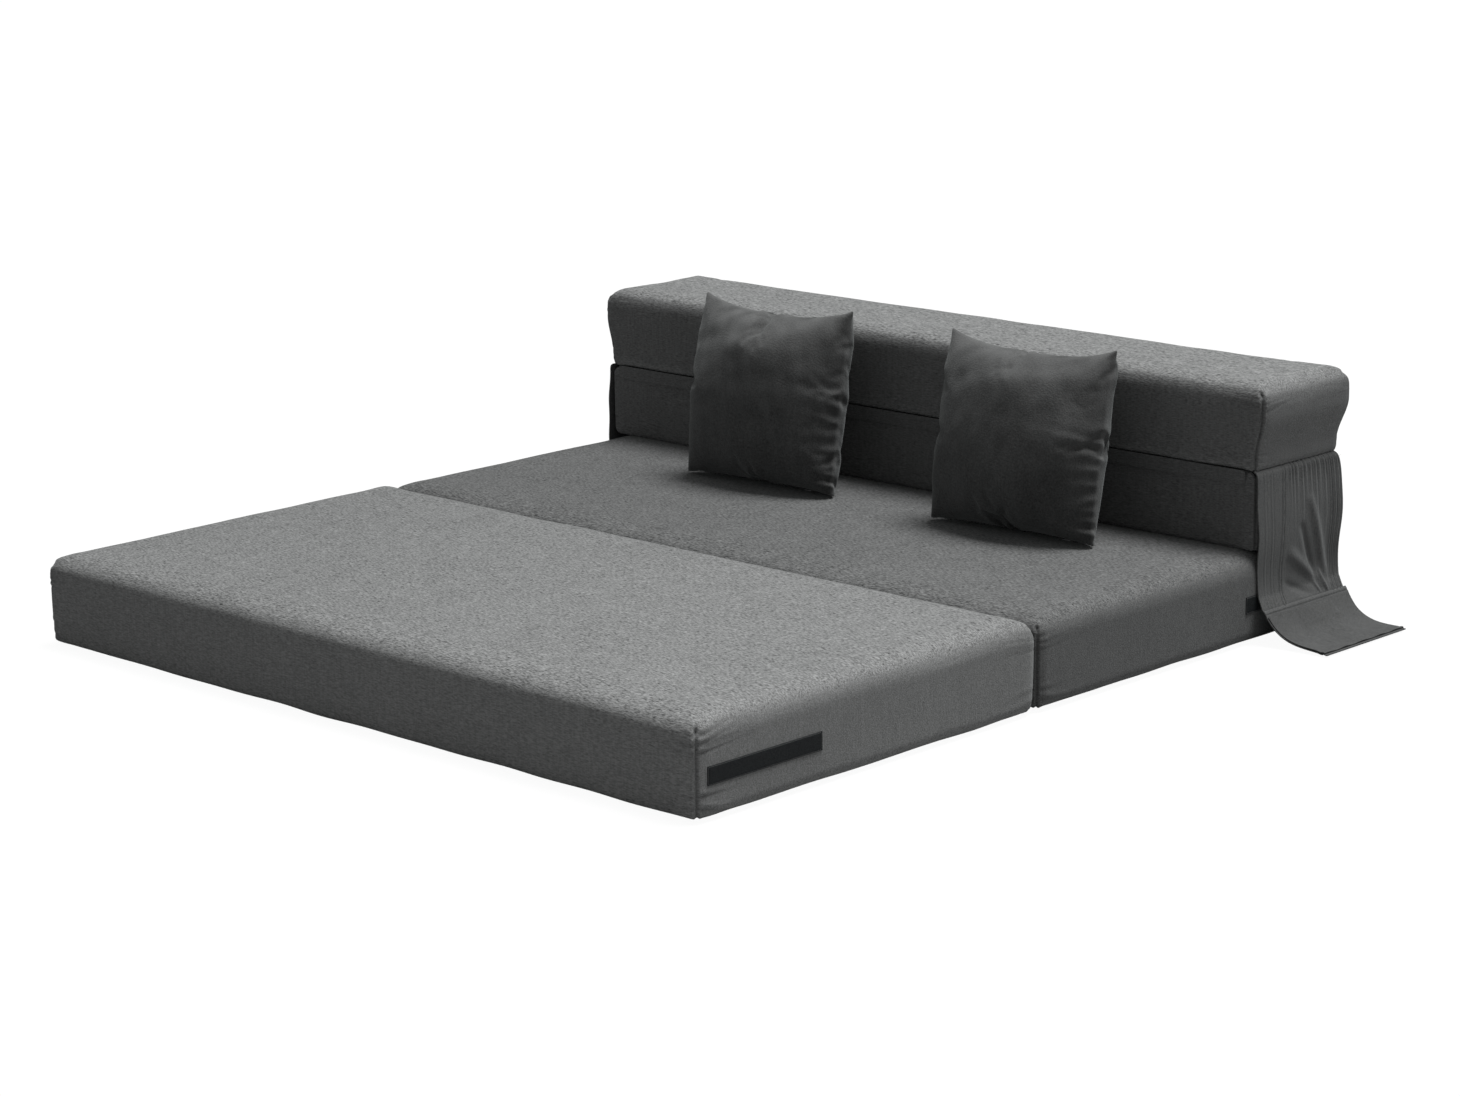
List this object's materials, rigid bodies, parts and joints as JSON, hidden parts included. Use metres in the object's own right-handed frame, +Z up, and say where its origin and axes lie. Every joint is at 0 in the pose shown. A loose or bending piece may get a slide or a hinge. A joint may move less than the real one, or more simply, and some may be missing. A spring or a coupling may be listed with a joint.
{
  "type": "futon sofa bed",
  "caption": "Low foam sofa bed: fold-under seat panels, a fold-out stacked backrest, hanging side flaps with cuffs and loose cushions, in grey cloth.",
  "frame": {"origin": "on the floor, below the middle of the box around the laid-out sofa", "axes": "+X is the sofa's left-to-right width, the front faces -Y and +Z is up"},
  "size_m": [2.3024, 1.9988, 0.6174],
  "materials": {
    "foam": "open-cell cushion foam",
    "seat_cloth": "short-pile slub chenille with quilted backing",
    "back_cloth": "short-pile slub chenille with quilted backing",
    "base_cloth": "black non-slip cloth with rubber dots",
    "zip_tape": "woven zip tape with nylon coil",
    "zip_metal": "satin gunmetal",
    "hook_tape": "black hook-and-loop tape",
    "hinge_cloth": "plain woven tape",
    "flap_cloth": "doubled woven cloth",
    "cushion_cloth": "short-pile slub chenille",
    "cushion_fill": "white polyester fill in a woven inner bag"
  },
  "bodies": {
    "mid_seat": {"mid_foam_core": "foam", "mid_cover": "seat_cloth", "mid_base_cloth": "base_cloth", "mid_zip_chain": "zip_tape", "mid_hook_strip_left": "hook_tape", "mid_hook_strip_right": "hook_tape", "rear_hinge_tape": "hinge_cloth", "front_hinge_tape": "hinge_cloth"},
    "front_seat": {"front_foam_core": "foam", "front_cover": "seat_cloth", "front_base_cloth": "base_cloth", "front_zip_chain": "zip_tape", "front_hook_strip_left": "hook_tape", "front_hook_strip_right": "hook_tape"},
    "lower_back": {"lower_back_foam_core": "foam", "lower_back_cover": "back_cloth", "lower_back_zip_chain": "zip_tape", "backrest_hinge_tape": "hinge_cloth"},
    "upper_back": {"upper_back_foam_core": "foam", "upper_back_cover": "back_cloth", "upper_back_zip_chain": "zip_tape"},
    "front_slider": {"front_zip_slider": "zip_metal"},
    "mid_slider": {"mid_zip_slider": "zip_metal"},
    "lower_back_slider": {"lower_back_zip_slider": "zip_metal"},
    "upper_back_slider": {"upper_back_zip_slider": "zip_metal"},
    "flap_left": {"flap_left": "flap_cloth", "flap_loop_patch_left": "hook_tape"},
    "cuff_seam_left": {"cuff_seam_left": "hinge_cloth"},
    "cuff_left": {"cuff_left": "flap_cloth", "cuff_loop_patch_left": "hook_tape"},
    "cushion_left": {"cushion_case_left": "cushion_cloth", "cushion_insert_left": "cushion_fill", "cushion_zip_chain_left": "zip_tape"},
    "cushion_slider_left": {"cushion_zip_slider_left": "zip_metal"},
    "flap_right": {"flap_right": "flap_cloth", "flap_loop_patch_right": "hook_tape"},
    "cuff_seam_right": {"cuff_seam_right": "hinge_cloth"},
    "cuff_right": {"cuff_right": "flap_cloth", "cuff_loop_patch_right": "hook_tape"},
    "cushion_right": {"cushion_case_right": "cushion_cloth", "cushion_insert_right": "cushion_fill", "cushion_zip_chain_right": "zip_tape"},
    "cushion_slider_right": {"cushion_zip_slider_right": "zip_metal"}
  },
  "joints": [
    {"name": "front_fold", "type": "hinge", "parent": "mid_seat", "child": "front_seat", "pos_m": [0, -0.0345, -0.0003], "axis": [1, 0, 0], "range_deg": [0, 179.9], "deforming": ["front_hinge_tape"]},
    {"name": "back_unfold", "type": "hinge", "parent": "mid_seat", "child": "lower_back", "pos_m": [0, 0.9985, 0.1942], "axis": [-1, 0, 0], "range_deg": [0, 179.9], "deforming": ["rear_hinge_tape"]},
    {"name": "upper_unfold", "type": "hinge", "parent": "lower_back", "child": "upper_back", "pos_m": [0, 0.689, 0.3666], "axis": [-1, 0, 0], "range_deg": [-179.9, 0], "deforming": ["backrest_hinge_tape"]},
    {"name": "flap_left_swing", "type": "hinge", "parent": "upper_back", "child": "flap_left", "pos_m": [-0.9671, 0.8415, 0.3708], "axis": [0, 1, 0], "range_deg": [0, 86]},
    {"name": "cuff_seam_left_bend", "type": "hinge", "parent": "flap_left", "child": "cuff_seam_left", "pos_m": [-0.9911, 0.8415, 0.072], "axis": [0, 1, 0], "range_deg": [-60, 0]},
    {"name": "cuff_left_bend", "type": "hinge", "parent": "cuff_seam_left", "child": "cuff_left", "pos_m": [-0.99852, 0.8415, 0.06013], "axis": [0, 1, 0], "range_deg": [-60, 0]},
    {"name": "cushion_left_lift", "type": "slide", "parent": "mid_seat", "child": "cushion_left", "axis": [0, 0, 1], "range_m": [0, 0.6]},
    {"name": "cushion_zip_left", "type": "slide", "parent": "cushion_left", "child": "cushion_slider_left", "axis": [-0.9994, -0.0349, 0], "range_m": [0, 0.305]},
    {"name": "flap_right_swing", "type": "hinge", "parent": "upper_back", "child": "flap_right", "pos_m": [0.9671, 0.8415, 0.3708], "axis": [0, -1, 0], "range_deg": [0, 86]},
    {"name": "cuff_seam_right_bend", "type": "hinge", "parent": "flap_right", "child": "cuff_seam_right", "pos_m": [0.9911, 0.8415, 0.072], "axis": [0, -1, 0], "range_deg": [-60, 0]},
    {"name": "cuff_right_bend", "type": "hinge", "parent": "cuff_seam_right", "child": "cuff_right", "pos_m": [0.99852, 0.8415, 0.06013], "axis": [0, -1, 0], "range_deg": [-60, 0]},
    {"name": "cushion_right_lift", "type": "slide", "parent": "mid_seat", "child": "cushion_right", "axis": [0, 0, 1], "range_m": [0, 0.6]},
    {"name": "cushion_zip_right", "type": "slide", "parent": "cushion_right", "child": "cushion_slider_right", "axis": [-0.9994, -0.0349, 0], "range_m": [0, 0.305]},
    {"name": "front_zip", "type": "slide", "parent": "front_seat", "child": "front_slider", "axis": [-1, 0, 0], "range_m": [0, 1.57]},
    {"name": "mid_zip", "type": "slide", "parent": "mid_seat", "child": "mid_slider", "axis": [-1, 0, 0], "range_m": [0, 1.57]},
    {"name": "lower_back_zip", "type": "slide", "parent": "lower_back", "child": "lower_back_slider", "axis": [-1, 0, 0], "range_m": [0, 1.57]},
    {"name": "upper_back_zip", "type": "slide", "parent": "upper_back", "child": "upper_back_slider", "axis": [-1, 0, 0], "range_m": [0, 1.57]}
  ],
  "couplings": [
    {"joint": "upper_unfold", "follows": "back_unfold", "ratio": -1},
    {"joint": "flap_left_swing", "follows": "back_unfold", "ratio": 0.47248},
    {"joint": "cuff_seam_left_bend", "follows": "back_unfold", "ratio": -0.32796},
    {"joint": "cuff_left_bend", "follows": "front_fold", "ratio": -0.32796},
    {"joint": "flap_right_swing", "follows": "back_unfold", "ratio": 0.47248},
    {"joint": "cuff_seam_right_bend", "follows": "back_unfold", "ratio": -0.32796},
    {"joint": "cuff_right_bend", "follows": "front_fold", "ratio": -0.32796}
  ]
}
